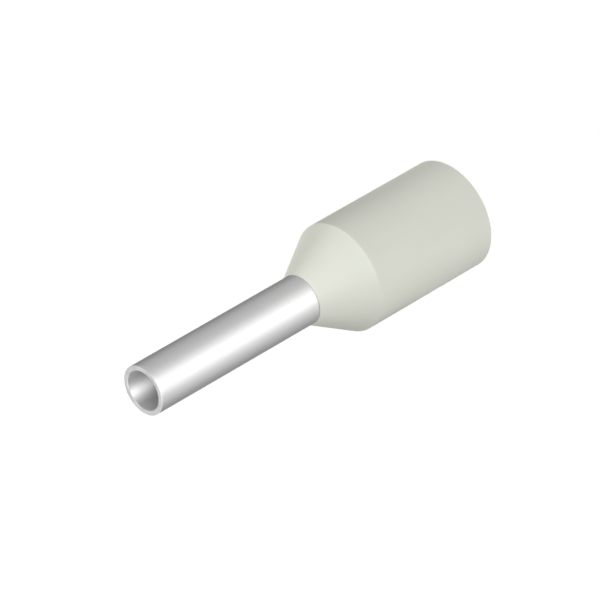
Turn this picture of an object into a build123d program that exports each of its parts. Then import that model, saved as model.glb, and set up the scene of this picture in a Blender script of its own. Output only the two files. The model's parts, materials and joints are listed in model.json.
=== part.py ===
from build123d import *
from math import cos, radians, sin, tan
import os

# Insulated wire ferrule for 0.75 mm2 stranded wire, in millimetres.
# It stands on the mouth of its collar: the origin is the centre of that face, and +Z runs along
# the ferrule's axis to the open tip of the metal sleeve.

# Whole ferrule
overall_length = 12.0
bare_length = 6.0  # from the tip to where the slope of the collar's cone meets the sleeve
taper_angle = 30.0  # to the axis: the collar's cone, the funnel inside it and the sleeve's flare

# Metal sleeve, a thin tube of tin-plated copper
sleeve_bore = 1.2
sleeve_wall = 0.15
flare_spread = 0.35  # how much further from the axis the bore is at the flare's mouth
flare_bend = 0.2  # radius of the bend on the outside of the tube
tip_round = 0.02

# Insulating collar, one plastic moulding
insulation_bore = 2.8
collar_wall = 0.25
cone_wall = 0.25  # behind the flare, square to the slope
nose_wall = 0.02  # where the cone ends on the sleeve
shoulder_round = 0.04
mouth_round = 0.05
mouth_lead_in = 0.1  # radius of the rounded edge that leads the wire's insulation in

# Radii of both pieces
taper = radians(taper_angle)
bore_radius = sleeve_bore / 2
sleeve_radius = bore_radius + sleeve_wall
flare_radius = bore_radius + flare_spread
insulation_radius = insulation_bore / 2
collar_radius = insulation_radius + collar_wall
nose_radius = sleeve_radius + nose_wall

# Levels of the collar's outside
slope_end = overall_length - bare_length
nose_level = slope_end - nose_wall / tan(taper)
shoulder_level = slope_end - (collar_radius - sleeve_radius) / tan(taper)

# Levels of the flare and of the funnel that carries its slope on to the insulation bore
seat_level = slope_end - cone_wall / sin(taper)
bend_level = seat_level - sleeve_wall * tan(taper / 2)
flare_level = bend_level - flare_spread / tan(taper)
funnel_level = flare_level - (insulation_radius - flare_radius) / tan(taper)

# The flare's rim is cut square to its wall, and the collar has the same step behind it
flare_rim_inside = (flare_radius, flare_level)
flare_rim_outside = (flare_radius + sleeve_wall * cos(taper), flare_level + sleeve_wall * sin(taper))

# The sleeve is a wall of even thickness: its bore line, bent out at the flare, and a line one wall
# outside that. The tip's two edges are slightly rounded.
with BuildPart() as contact_sleeve:
    with BuildSketch(Plane.XZ):
        with BuildLine():
            FilletPolyline(
                (bore_radius, overall_length),
                (bore_radius, bend_level),
                flare_rim_inside,
                radius=flare_bend + sleeve_wall,
            )
            offset(amount=sleeve_wall, side=Side.LEFT)
        make_face()
    revolve(axis=Axis.Z)
    tip_edges = contact_sleeve.edges().filter_by(GeomType.CIRCLE).group_by(Axis.Z)[-1]
    fillet(tip_edges, radius=tip_round)
contact_sleeve.part.label = "contact_sleeve"

# The collar's section, round from the mouth's inner edge: up the outside to the nose, down the
# neck that grips the sleeve, out along the seat of the flare and its step, and down the funnel.
# Each corner is paired with its radius, and the corner of the seat has the bend of the tube.
collar_corners = {
    (insulation_radius, 0): mouth_lead_in,
    (collar_radius, 0): mouth_round,
    (collar_radius, shoulder_level): shoulder_round,
    (nose_radius, nose_level): 0,
    (sleeve_radius, nose_level): 0,
    (sleeve_radius, seat_level): flare_bend,
    flare_rim_outside: 0,
    flare_rim_inside: 0,
    (insulation_radius, funnel_level): 0,
}
with BuildPart() as insulating_collar:
    with BuildSketch(Plane.XZ):
        with BuildLine():
            FilletPolyline(*collar_corners.keys(), radius=list(collar_corners.values()), close=True)
        make_face()
    revolve(axis=Axis.Z)
insulating_collar.part.label = "insulating_collar"

os.makedirs("parts", exist_ok=True)
export_step(contact_sleeve.part, "parts/contact_sleeve.step")
export_step(insulating_collar.part, "parts/insulating_collar.step")
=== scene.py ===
import json
import math

import bpy
import numpy as np
from mathutils import Matrix, Vector


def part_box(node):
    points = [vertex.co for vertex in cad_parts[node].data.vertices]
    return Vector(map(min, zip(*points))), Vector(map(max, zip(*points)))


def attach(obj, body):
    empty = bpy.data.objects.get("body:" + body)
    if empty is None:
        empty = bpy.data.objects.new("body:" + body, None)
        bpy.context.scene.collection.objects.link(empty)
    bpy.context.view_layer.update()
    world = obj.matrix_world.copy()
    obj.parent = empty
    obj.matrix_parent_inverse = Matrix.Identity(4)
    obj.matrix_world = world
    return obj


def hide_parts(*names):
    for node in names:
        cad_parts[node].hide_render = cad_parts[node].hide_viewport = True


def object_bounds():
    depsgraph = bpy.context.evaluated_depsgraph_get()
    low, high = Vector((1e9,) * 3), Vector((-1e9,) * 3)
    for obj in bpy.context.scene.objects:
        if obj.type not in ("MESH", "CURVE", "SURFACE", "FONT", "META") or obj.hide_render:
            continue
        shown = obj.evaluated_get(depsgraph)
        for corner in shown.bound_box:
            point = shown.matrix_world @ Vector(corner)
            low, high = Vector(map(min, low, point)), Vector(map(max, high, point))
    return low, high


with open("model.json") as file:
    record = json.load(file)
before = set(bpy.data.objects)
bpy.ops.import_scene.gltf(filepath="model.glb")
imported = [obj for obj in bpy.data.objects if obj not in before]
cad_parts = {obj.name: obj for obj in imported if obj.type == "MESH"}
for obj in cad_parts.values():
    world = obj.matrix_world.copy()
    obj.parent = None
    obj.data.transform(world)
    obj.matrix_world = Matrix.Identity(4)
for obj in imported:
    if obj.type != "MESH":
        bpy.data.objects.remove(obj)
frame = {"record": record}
cad_low, cad_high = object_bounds()

# Contact sleeve
# The real piece is a thin drawn copper tube, plated with matt tin. It is cut square at the tip and
# opened into a flare at the end that the collar hides, which holds it in the collar. Fine lines run
# along its outside and round its bore.

MM = 0.001
mounts = {mount["name"]: mount["dims"] for mount in frame["record"]["mounts"]}
sleeve_low, sleeve_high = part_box("contact_sleeve")

taper = math.radians(30)
bore_radius = mounts["conductor_bore"]["r_mm"] * MM
sleeve_radius = mounts["sleeve_outside"]["r_mm"] * MM
sleeve_wall = sleeve_radius - bore_radius
flare_level = sleeve_low.z
flare_radius = sleeve_high.x - sleeve_wall * math.cos(taper)
flare_bend = 0.2 * MM
bend_level = flare_level + (flare_radius - bore_radius) / math.tan(taper)
seat_level = bend_level + sleeve_wall * math.tan(taper / 2)
rim_outside = (sleeve_high.x, flare_level + sleeve_wall * math.sin(taper))
tip_round = 0.02 * MM
crisp = 0.006 * MM  # the least rounding that any real edge has

ARC_STEPS = 8
RING_SPACING = 0.12 * MM
AROUND = 288


def rounded_section(corners, radii):
    """The closed section through the corners (radius, height), run with its outside on the right.

    Each corner becomes an arc: it starts at radius times the tangent of half the turn before the
    corner, and its heading turns evenly from one side's to the next. A point of an arc lies at the
    centre plus or minus the radius to the right of its heading. Between two arcs, points are spread
    evenly along the straight side. Returns the points, the outward normals, which point to the right
    of the heading, and a mask that is 1 on the arcs.
    """
    corners, radii = np.array(corners), np.array(radii)
    ahead = np.roll(corners, -1, axis=0) - corners
    heading_out = np.arctan2(ahead[:, 1], ahead[:, 0])
    heading_in = np.roll(heading_out, 1)
    turn = (heading_out - heading_in + np.pi) % (2 * np.pi) - np.pi
    start = corners - (radii * np.tan(np.abs(turn) / 2))[:, None] * np.stack(
        [np.cos(heading_in), np.sin(heading_in)], axis=1
    )
    side = np.sign(turn) * radii
    centre = start + side[:, None] * np.stack([-np.sin(heading_in), np.cos(heading_in)], axis=1)
    heading = heading_in[:, None] + turn[:, None] * np.linspace(0, 1, ARC_STEPS + 1)
    normals = np.stack([np.sin(heading), -np.cos(heading)], axis=2)
    arcs = centre[:, None, :] + side[:, None, None] * normals

    points, outward, on_arc = [], [], []
    for arc, normal, following in zip(arcs, normals, np.roll(arcs, -1, axis=0)):
        run = following[0] - arc[-1]
        steps = max(1, int(np.ceil(np.hypot(*run) / RING_SPACING)))
        share = np.arange(1, steps)[:, None] / steps
        points += [arc, arc[-1] + share * run]
        outward += [normal, np.repeat(normal[-1:], steps - 1, axis=0)]
        on_arc += [np.ones(ARC_STEPS + 1), np.zeros(steps - 1)]
    return np.concatenate(points), np.concatenate(outward), np.concatenate(on_arc)


def turned_piece(name, section):
    """A solid of revolution: the section turned about Z.

    A point (radius, height) at angle a is (radius cos a, radius sin a, height), and its normal turns
    with it. The grid closes on itself both ways, so the surface has no seam, pole or edge. The
    attribute edge is 1 on the rounded corners.
    """
    points, outward, on_arc = section
    rings, steps = len(points), AROUND
    angle = np.arange(steps) * 2 * np.pi / steps
    turned = np.stack([np.cos(angle), np.sin(angle), np.zeros(steps)], axis=1)[:, None, :]
    upright = np.array([0, 0, 1])
    places = points[:, 0, None] * turned + points[:, 1, None] * upright
    normals = outward[:, 0, None] * turned + outward[:, 1, None] * upright

    around, along = np.meshgrid(np.arange(steps), np.arange(rings), indexing="ij")
    next_around, next_along = (around + 1) % steps, (along + 1) % rings
    quads = np.stack(
        [
            around * rings + along,
            next_around * rings + along,
            next_around * rings + next_along,
            around * rings + next_along,
        ],
        axis=2,
    )
    mesh = bpy.data.meshes.new(name)
    mesh.vertices.add(steps * rings)
    mesh.vertices.foreach_set("co", places.ravel())
    mesh.loops.add(quads.size)
    mesh.loops.foreach_set("vertex_index", quads.ravel())
    mesh.polygons.add(steps * rings)
    mesh.polygons.foreach_set("loop_start", np.arange(steps * rings) * 4)
    mesh.polygons.foreach_set("use_smooth", np.ones(steps * rings, bool))
    mesh.update(calc_edges=True)
    mesh.normals_split_custom_set_from_vertices(normals.reshape(-1, 3))
    mesh.attributes.new("edge", "FLOAT", "POINT").data.foreach_set("value", np.tile(on_arc, steps))
    piece = bpy.data.objects.new(name, mesh)
    bpy.context.scene.collection.objects.link(piece)
    return piece


def put(tree, kind, inputs=None, **properties):
    """Adds a node. Each input is a constant, or the output socket that feeds it."""
    node = tree.nodes.new(kind)
    for name, value in properties.items():
        setattr(node, name, value)
    for name, value in (inputs or {}).items():
        if isinstance(value, bpy.types.NodeSocket):
            tree.links.new(value, node.inputs[name])
        else:
            node.inputs[name].default_value = value
    return node


def effect_group(name, inputs, outputs):
    """An empty shader node group with those named sockets, and its two end nodes."""
    tree = bpy.data.node_groups.new(name, "ShaderNodeTree")
    for label, kind in inputs.items():
        tree.interface.new_socket(label, in_out="INPUT", socket_type=kind)
    for label, kind in outputs.items():
        tree.interface.new_socket(label, in_out="OUTPUT", socket_type=kind)
    return tree, put(tree, "NodeGroupInput"), put(tree, "NodeGroupOutput")


def surface_grain():
    """Fine grain and soft patches, both from 0 to 1: two noises on stretched coordinates."""
    tree, given, result = effect_group(
        "surface_grain",
        {
            "Stretch": "NodeSocketVector",
            "Grain Scale": "NodeSocketFloat",
            "Patch Scale": "NodeSocketFloat",
        },
        {"Grain": "NodeSocketFloat", "Patches": "NodeSocketFloat"},
    )
    place = put(tree, "ShaderNodeTexCoord").outputs["Object"]
    stretched = put(
        tree,
        "ShaderNodeVectorMath",
        {0: place, 1: given.outputs["Stretch"]},
        operation="MULTIPLY",
    )
    for socket, scale, detail in (("Grain", "Grain Scale", 3), ("Patches", "Patch Scale", 2)):
        noise = put(
            tree,
            "ShaderNodeTexNoise",
            {
                "Vector": stretched.outputs[0],
                "Scale": given.outputs[scale],
                "Detail": detail,
                "Roughness": 0.55,
            },
        )
        tree.links.new(noise.outputs["Fac"], result.inputs[socket])
    return tree


def edge_wear():
    """The share of a surface that handling has rubbed: the rounded edges, broken up by patches."""
    tree, given, result = effect_group(
        "edge_wear",
        {"Patches": "NodeSocketFloat", "Wear": "NodeSocketFloat"},
        {"Worn": "NodeSocketFloat"},
    )
    edge = put(tree, "ShaderNodeAttribute", attribute_name="edge").outputs["Fac"]
    rubbed = put(
        tree,
        "ShaderNodeMapRange",
        {"Value": given.outputs["Patches"], "From Min": 0.35, "From Max": 0.6},
    )
    broken = put(tree, "ShaderNodeMath", {0: edge, 1: rubbed.outputs[0]}, operation="MULTIPLY")
    worn = put(
        tree, "ShaderNodeMath", {0: broken.outputs[0], 1: given.outputs["Wear"]}, operation="MULTIPLY"
    )
    tree.links.new(worn.outputs[0], result.inputs["Worn"])
    return tree


grain_group = surface_grain()
wear_group = edge_wear()


def varied(tree, mask, low, high):
    """A number that runs from low to high as the mask runs over the middle of its range."""
    spread = {"Value": mask, "From Min": 0.3, "From Max": 0.7, "To Min": low, "To Max": high}
    return put(tree, "ShaderNodeMapRange", spread).outputs[0]


def between(tree, share, first, second):
    """A colour that runs from the first to the second with the share."""
    colours = {"Factor": share, "A": first, "B": second}
    return put(tree, "ShaderNodeMix", colours, data_type="RGBA").outputs["Result"]


DULL_TIN = np.array([0.54, 0.54, 0.538])
CLEAN_TIN = np.array([0.57, 0.57, 0.568])
RUBBED_TIN = np.array([0.63, 0.63, 0.627])
TIN_GRAIN = 45 / MM
TIN_PATCHES = 4 / MM
TIN_UNEVEN = 0.05  # how far the grain takes the roughness up and down
TIN_LINE_DEPTH = 0.0008 * MM
TIN_WEAR = 0.7
TIN_WORN_SMOOTHER = 0.1  # how much less rough the tin is where it is all rubbed


def tin_plate(name, tone, stretch, roughness, spread):
    """Matt tin: fine lines, soft patches of tone, and edges that handling has rubbed brighter.

    Tone is how light the tin is beside that of the tube's outside. Stretch sets which way the lines
    run. Spread is how much wider a shine is along the ferrule than around it.
    """
    dull, clean, rubbed = [(*(tone * colour), 1) for colour in (DULL_TIN, CLEAN_TIN, RUBBED_TIN)]
    material = bpy.data.materials.new(name)
    material.use_nodes = True
    tree = material.node_tree
    shader = tree.nodes["Principled BSDF"].inputs
    shader["Metallic"].default_value = 1.0
    shader["Anisotropic"].default_value = spread
    shader["Anisotropic Rotation"].default_value = 0.25
    grain = put(
        tree,
        "ShaderNodeGroup",
        {"Stretch": stretch, "Grain Scale": TIN_GRAIN, "Patch Scale": TIN_PATCHES},
        node_tree=grain_group,
    ).outputs
    worn = put(
        tree,
        "ShaderNodeGroup",
        {"Patches": grain["Patches"], "Wear": TIN_WEAR},
        node_tree=wear_group,
    ).outputs["Worn"]
    plate = between(tree, varied(tree, grain["Patches"], 0, 1), dull, clean)
    matt = varied(tree, grain["Grain"], roughness - TIN_UNEVEN, roughness + TIN_UNEVEN)
    smoother = {0: worn, 1: -TIN_WORN_SMOOTHER, 2: matt}
    rough = put(tree, "ShaderNodeMath", smoother, operation="MULTIPLY_ADD")
    lines = put(tree, "ShaderNodeBump", {"Height": grain["Grain"], "Distance": TIN_LINE_DEPTH})
    tree.links.new(between(tree, worn, plate, rubbed), shader["Base Color"])
    tree.links.new(rough.outputs[0], shader["Roughness"])
    tree.links.new(lines.outputs["Normal"], shader["Normal"])
    return material


sleeve_corners = [
    (sleeve_radius, seat_level),
    (sleeve_radius, sleeve_high.z),
    (bore_radius, sleeve_high.z),
    (bore_radius, bend_level),
    (flare_radius, flare_level),
    rim_outside,
]
sleeve_rounds = [flare_bend, tip_round, tip_round, flare_bend + sleeve_wall, crisp, crisp]
sleeve_section = rounded_section(sleeve_corners, sleeve_rounds)
sleeve = turned_piece("sleeve_tube", sleeve_section)
for finish in (
    tin_plate("matt_tin", tone=1, stretch=(1, 1, 0.03), roughness=0.5, spread=0),
    tin_plate("tinned_bore", tone=0.87, stretch=(0.1, 0.1, 1), roughness=0.65, spread=0.62),
    tin_plate("cut_tin", tone=0.76, stretch=(1, 1, 1), roughness=0.85, spread=0),
):
    sleeve.data.materials.append(finish)
OUTSIDE, BORE, CUT = range(3)

# Each strip of faces lies between two points of the section: those above the tip's rounding are cut,
# and of the others, those that look more towards the axis than along it are in the bore.
points, outward = sleeve_section[:2]
height = (points[:, 1] + np.roll(points[:, 1], -1)) / 2
inward = -(outward[:, 0] + np.roll(outward[:, 0], -1)) / 2
place = np.where(inward > 0.5, BORE, OUTSIDE)
place = np.where(height > sleeve_high.z - tip_round, CUT, place)
sleeve.data.polygons.foreach_set("material_index", np.tile(place, AROUND).astype(np.int32))
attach(sleeve, "root")
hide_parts("contact_sleeve")

# Insulating collar
# The real piece is one polypropylene moulding, pressed on the sleeve. Outside it is a round barrel
# and a cone, and inside it has a straight bore, a funnel, the seat of the flare and a short neck.

collar_low, collar_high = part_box("insulating_collar")
collar_radius = collar_high.x
insulation_radius = mounts["insulation_bore"]["r_mm"] * MM
nose_wall = 0.02 * MM
nose_radius = sleeve_radius + nose_wall
nose_level = collar_high.z
shoulder_level = nose_level - (collar_radius - nose_radius) / math.tan(taper)
funnel_level = flare_level - (insulation_radius - flare_radius) / math.tan(taper)
mouth_level = collar_low.z
mouth_lead_in = 0.1 * MM
mouth_round = 0.05 * MM
shoulder_round = 0.04 * MM
funnel_round = 0.05 * MM

DARKER_PLASTIC = (0.694, 0.71, 0.632, 1)
LIGHTER_PLASTIC = (0.714, 0.73, 0.652, 1)
RUBBED_PLASTIC = (0.75, 0.76, 0.69, 1)
PLASTIC_STRETCH = (1, 1, 0.6)
PLASTIC_GRAIN = 30 / MM
PLASTIC_PATCHES = 0.9 / MM
PLASTIC_SMOOTHEST, PLASTIC_ROUGHEST = 0.5, 0.62
PLASTIC_PIT_DEPTH = 0.0015 * MM
PLASTIC_WEAR = 0.4
PLASTIC_WORN_SMOOTHER = 0.15


def moulded_plastic():
    """Pale grey polypropylene: a fine spark-eroded grain, faint flow marks, lighter rubbed edges."""
    material = bpy.data.materials.new("moulded_polypropylene")
    material.use_nodes = True
    tree = material.node_tree
    shader = tree.nodes["Principled BSDF"].inputs
    shader["Specular IOR Level"].default_value = 0.25
    grain = put(
        tree,
        "ShaderNodeGroup",
        {
            "Stretch": PLASTIC_STRETCH,
            "Grain Scale": PLASTIC_GRAIN,
            "Patch Scale": PLASTIC_PATCHES,
        },
        node_tree=grain_group,
    ).outputs
    worn = put(
        tree,
        "ShaderNodeGroup",
        {"Patches": grain["Patches"], "Wear": PLASTIC_WEAR},
        node_tree=wear_group,
    ).outputs["Worn"]
    plastic = between(tree, varied(tree, grain["Patches"], 0, 1), DARKER_PLASTIC, LIGHTER_PLASTIC)
    matt = varied(tree, grain["Grain"], PLASTIC_SMOOTHEST, PLASTIC_ROUGHEST)
    smoother = {0: worn, 1: -PLASTIC_WORN_SMOOTHER, 2: matt}
    rough = put(tree, "ShaderNodeMath", smoother, operation="MULTIPLY_ADD")
    pits = put(tree, "ShaderNodeBump", {"Height": grain["Grain"], "Distance": PLASTIC_PIT_DEPTH})
    tree.links.new(between(tree, worn, plastic, RUBBED_PLASTIC), shader["Base Color"])
    tree.links.new(rough.outputs[0], shader["Roughness"])
    tree.links.new(pits.outputs["Normal"], shader["Normal"])
    return material


collar_corners = [
    (insulation_radius, mouth_level),
    (collar_radius, mouth_level),
    (collar_radius, shoulder_level),
    (nose_radius, nose_level),
    (sleeve_radius, nose_level),
    (sleeve_radius, seat_level),
    rim_outside,
    (flare_radius, flare_level),
    (insulation_radius, funnel_level),
]
collar_rounds = [
    mouth_lead_in,
    mouth_round,
    shoulder_round,
    crisp,
    crisp,
    flare_bend,
    crisp,
    crisp,
    funnel_round,
]
collar = turned_piece("collar_moulding", rounded_section(collar_corners, collar_rounds))
collar.data.materials.append(moulded_plastic())
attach(collar, "root")
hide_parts("insulating_collar")

# Floor
# A plain white sheet under the ferrule, for the photograph's white ground. It looks white from above,
# with the ferrule's soft shadow on it, and the light goes through it.

FLOOR_HALF = 120 * MM
FLOOR_DROP = 0.02 * MM
SHEET_GREY = (0.3, 0.3, 0.3, 1)
SHEET_GLOW = 0.865  # with the light that the grey sends back, it comes to white
WHITE = (1, 1, 1, 1)
floor_mesh = bpy.data.meshes.new("floor")
floor_corners = FLOOR_HALF * np.array([(-1, -1), (1, -1), (1, 1), (-1, 1)])
floor_mesh.from_pydata([(x, y, -FLOOR_DROP) for x, y in floor_corners], [], [(0, 1, 2, 3)])
floor = bpy.data.objects.new("floor", floor_mesh)
bpy.context.scene.collection.objects.link(floor)


def looking_rays(tree):
    """1 for the rays by which the camera, metal and glass see the background, and 0 for light."""
    path = put(tree, "ShaderNodeLightPath").outputs
    either = put(
        tree,
        "ShaderNodeMath",
        {0: path["Is Camera Ray"], 1: path["Is Glossy Ray"]},
        operation="MAXIMUM",
    )
    return put(
        tree,
        "ShaderNodeMath",
        {0: either.outputs[0], 1: path["Is Transmission Ray"]},
        operation="MAXIMUM",
    ).outputs[0]


def white_sheet():
    """White, less a faint shadow, from above. It lets light through, and is clear from below."""
    material = bpy.data.materials.new("white_sheet")
    material.use_nodes = True
    material.cycles.emission_sampling = "NONE"
    tree = material.node_tree
    tree.nodes.clear()
    matt = put(tree, "ShaderNodeBsdfDiffuse", {"Color": SHEET_GREY})
    glow = put(tree, "ShaderNodeEmission", {"Color": WHITE, "Strength": SHEET_GLOW})
    lit = put(tree, "ShaderNodeAddShader", {0: matt.outputs[0], 1: glow.outputs[0]})
    clear = put(tree, "ShaderNodeBsdfTransparent")
    behind = put(tree, "ShaderNodeNewGeometry").outputs["Backfacing"]
    above = put(tree, "ShaderNodeMath", {0: 1.0, 1: behind}, operation="SUBTRACT").outputs[0]
    seen = put(tree, "ShaderNodeMath", {0: looking_rays(tree), 1: above}, operation="MULTIPLY")
    mix = put(
        tree,
        "ShaderNodeMixShader",
        {0: seen.outputs[0], 1: clear.outputs[0], 2: lit.outputs[0]},
    )
    put(tree, "ShaderNodeOutputMaterial", {"Surface": mix.outputs[0]})
    return material


floor_mesh.materials.append(white_sheet())

# Light
# An even white surround, with soft boxes in front, near the camera, behind, and at the side for the
# collar alone. One more lights the sleeve's bore, and a card round the tip keeps its light off the tube.
# A bent glowing sheet, which only shiny surfaces show, paints the tube's gleam and its darker edges: a
# painted highlight and painted shade, seen in reflection.

middle = (cad_low + cad_high) / 2
EVEN_LIGHT = 0.23
BOX_AWAY = 300 * MM


def toward(azimuth, elevation):
    """The direction at that azimuth, which is 0 on the camera's side, and that elevation."""
    a, e = math.radians(azimuth), math.radians(elevation)
    return Vector((math.sin(a) * math.cos(e), -math.cos(a) * math.cos(e), math.sin(e)))


def soft_box(name, azimuth, elevation, size, level):
    """A rectangular lamp in that direction, which faces the middle of the ferrule.

    Level is how bright it looks, where a white matt sheet has a brightness of 1.
    """
    lamp = bpy.data.lights.new(name, "AREA")
    lamp.shape = "RECTANGLE"
    lamp.size, lamp.size_y = size
    lamp.energy = level * math.pi * lamp.size * lamp.size_y
    box = bpy.data.objects.new(name, lamp)
    away = toward(azimuth, elevation)
    box.location = middle + BOX_AWAY * away
    box.rotation_mode = "QUATERNION"
    box.rotation_quaternion = away.to_track_quat("Z", "Y")
    box.visible_camera = False
    bpy.context.scene.collection.objects.link(box)
    return box


world = bpy.data.worlds.new("studio")
bpy.context.scene.world = world
world.use_nodes = True
world.cycles.sampling_method = "NONE"
studio = world.node_tree
studio.nodes.clear()
white = put(studio, "ShaderNodeBackground", {"Color": WHITE, "Strength": 1.0})
even = put(studio, "ShaderNodeBackground", {"Color": WHITE, "Strength": EVEN_LIGHT})
seen = put(
    studio,
    "ShaderNodeMixShader",
    {0: looking_rays(studio), 1: even.outputs[0], 2: white.outputs[0]},
)
put(studio, "ShaderNodeOutputWorld", {"Surface": seen.outputs[0]})

BOX_SIZE = (120 * MM, 120 * MM)
TALL_BOX_SIZE = (120 * MM, 320 * MM)
front_box = soft_box("front_box", azimuth=-24, elevation=6, size=BOX_SIZE, level=11.8)
near_box = soft_box("near_box", azimuth=-14, elevation=42, size=BOX_SIZE, level=3.3)
side_box = soft_box("side_box", azimuth=88, elevation=44, size=BOX_SIZE, level=11.2)
back_box = soft_box("back_box", azimuth=180, elevation=20, size=BOX_SIZE, level=11)
bore_box = soft_box("bore_box", azimuth=-16, elevation=38, size=TALL_BOX_SIZE, level=17.5)
front_box.visible_glossy = back_box.visible_glossy = False


def stage_sheet(name, places):
    """A sheet through a grid of places, which neither the camera nor a matt surface sees."""
    index = np.arange(places[..., 0].size).reshape(places.shape[:2])
    quads = np.stack([index[:-1, :-1], index[1:, :-1], index[1:, 1:], index[:-1, 1:]], axis=2)
    mesh = bpy.data.meshes.new(name)
    mesh.from_pydata(places.reshape(-1, 3), [], quads.reshape(-1, 4))
    piece = bpy.data.objects.new(name, mesh)
    bpy.context.scene.collection.objects.link(piece)
    piece.visible_camera = piece.visible_diffuse = False
    return piece


def ring_card(name, inside, outside, height):
    """A flat ring: the point at angle a and distance r is (r cos a, r sin a, height)."""
    angle, r = np.meshgrid(np.linspace(0, 2 * np.pi, AROUND + 1), [inside, outside], indexing="ij")
    places = np.stack([r * np.cos(angle), r * np.sin(angle), np.full(r.shape, height)], axis=2)
    return stage_sheet(name, places)


def gathered(name, members):
    """A collection that tells a lamp what it lights, or what stops its light."""
    group = bpy.data.collections.new(name)
    for member in members:
        group.objects.link(member)
    return group


CARD_INSIDE = sleeve_radius - sleeve_wall / 2
CARD_OUTSIDE = 40 * MM
card = ring_card("bore_card", CARD_INSIDE, CARD_OUTSIDE, sleeve_high.z - tip_round)
card.visible_glossy = card.visible_transmission = False
card.data.materials.append(bpy.data.materials.new("card"))
for box in (front_box, near_box, side_box, back_box):
    box.light_linking.blocker_collection = gathered(f"stops_{box.name}", [sleeve, collar])
side_box.light_linking.receiver_collection = gathered("lit_by_side_box", [collar])
bore_box.light_linking.receiver_collection = gathered("lit_by_bore_box", [sleeve])
bore_box.light_linking.blocker_collection = gathered("stops_bore_box", [sleeve, collar, card])

# The glowing sheet that paints the tube's reflection: its place and its brightness, with GLEAM a painted
# highlight and SHADE painted shade.
REFLECTION_SHEET_AWAY = 5 * MM
REFLECTION_SHEET_HEIGHT = 13 * MM
PLAIN = 0.8
SHADE = 0.62
SHADE_STARTS, SHADE_LASTS = 76, 60
REAR_RISE, REAR_WIDTH = 0.75, 22
GLEAM, GLEAM_MIDDLE, GLEAM_WIDTH = 1.87, -15, 32


def bell(angle, middle_angle, width):
    """A soft bump: e to the power of minus the square of the angle from its middle over its width."""
    return np.exp(-(((angle - middle_angle) / width) ** 2))


def painted_reflection_tube(name):
    """A glowing sheet bent round the ferrule, that only shiny surfaces show; the tube shows it as a
    painted reflection, with a painted highlight in front and painted shade at its edges.

    The point at angle a and height h is REFLECTION_SHEET_AWAY toward a, up h. Its brightness is PLAIN,
    less
    SHADE after a smooth step on each side, with a bump behind, and with a bump of GLEAM in front.
    """
    angle, height = np.meshgrid(np.linspace(-180, 180, AROUND + 1), [0, REFLECTION_SHEET_HEIGHT], indexing="ij")
    turn = np.radians(angle)
    places = np.stack([REFLECTION_SHEET_AWAY * np.sin(turn), -REFLECTION_SHEET_AWAY * np.cos(turn), height], axis=2)
    painted_reflection_sheet = stage_sheet(name, places)
    painted_reflection_sheet.visible_shadow = False
    # Painted reflection: the bump of GLEAM paints the tube's highlight, and the steps of SHADE paint its
    # darker edges.
    past = np.clip((np.abs(angle) - SHADE_STARTS) / SHADE_LASTS, 0, 1)
    side = PLAIN - SHADE * past**2 * (3 - 2 * past) + REAR_RISE * bell(np.abs(angle), 180, REAR_WIDTH)
    front = GLEAM * bell(angle, GLEAM_MIDDLE, GLEAM_WIDTH)
    shine = painted_reflection_sheet.data.attributes.new("shine", "FLOAT", "POINT")
    shine.data.foreach_set("value", (side + front).ravel())
    return painted_reflection_sheet


def painted_reflection_glow():
    """A glow as bright as its attribute says, which shiny surfaces show as a painted reflection."""
    material = bpy.data.materials.new("painted_reflection_glow")
    material.use_nodes = True
    material.cycles.emission_sampling = "NONE"
    tree = material.node_tree
    tree.nodes.clear()
    shine = put(tree, "ShaderNodeAttribute", attribute_name="shine").outputs["Fac"]
    glow = put(tree, "ShaderNodeEmission", {"Color": WHITE, "Strength": shine})
    put(tree, "ShaderNodeOutputMaterial", {"Surface": glow.outputs[0]})
    return material


# This sheet glows only for shiny surfaces, as a painted reflection on the tube.
painted_reflection_sheet = painted_reflection_tube("painted_reflection_tube")
painted_reflection_sheet.data.materials.append(painted_reflection_glow())

# Camera
# The photograph looks at the ferrule's tip along the diagonal of a cube, from far away, and is
# turned so that the ferrule lies in the picture from lower left to upper right.

PICTURE = 600
TIP_PIXEL = (142.96, 390.81)
PIXELS_PER_METRE = 36.94 / MM
VIEW_DISTANCE = 152.4 * MM
tilt = math.atan(math.sqrt(0.5))
roll = math.radians(120)
ahead = Vector((0, math.cos(tilt), -math.sin(tilt)))
level, upward = Vector((1, 0, 0)), Vector((0, math.sin(tilt), math.cos(tilt)))
picture_right = math.cos(roll) * level - math.sin(roll) * upward
picture_up = math.sin(roll) * level + math.cos(roll) * upward
tip = Vector((0, 0, sleeve_high.z))
aim = (
    tip
    + (PICTURE / 2 - TIP_PIXEL[0]) / PIXELS_PER_METRE * picture_right
    + (TIP_PIXEL[1] - PICTURE / 2) / PIXELS_PER_METRE * picture_up
)
camera_data = bpy.data.cameras.new("camera")
camera_data.sensor_width = 36
camera_data.lens = camera_data.sensor_width * PIXELS_PER_METRE * VIEW_DISTANCE / PICTURE
camera_data.clip_start = 1 * MM
camera_data.clip_end = 10
camera = bpy.data.objects.new("camera", camera_data)
turned = Matrix((picture_right, picture_up, -ahead)).transposed().to_4x4()
camera.matrix_world = Matrix.Translation(aim - ahead * VIEW_DISTANCE) @ turned
bpy.context.scene.collection.objects.link(camera)
bpy.context.scene.camera = camera
bpy.context.scene.view_settings.view_transform = "Standard"
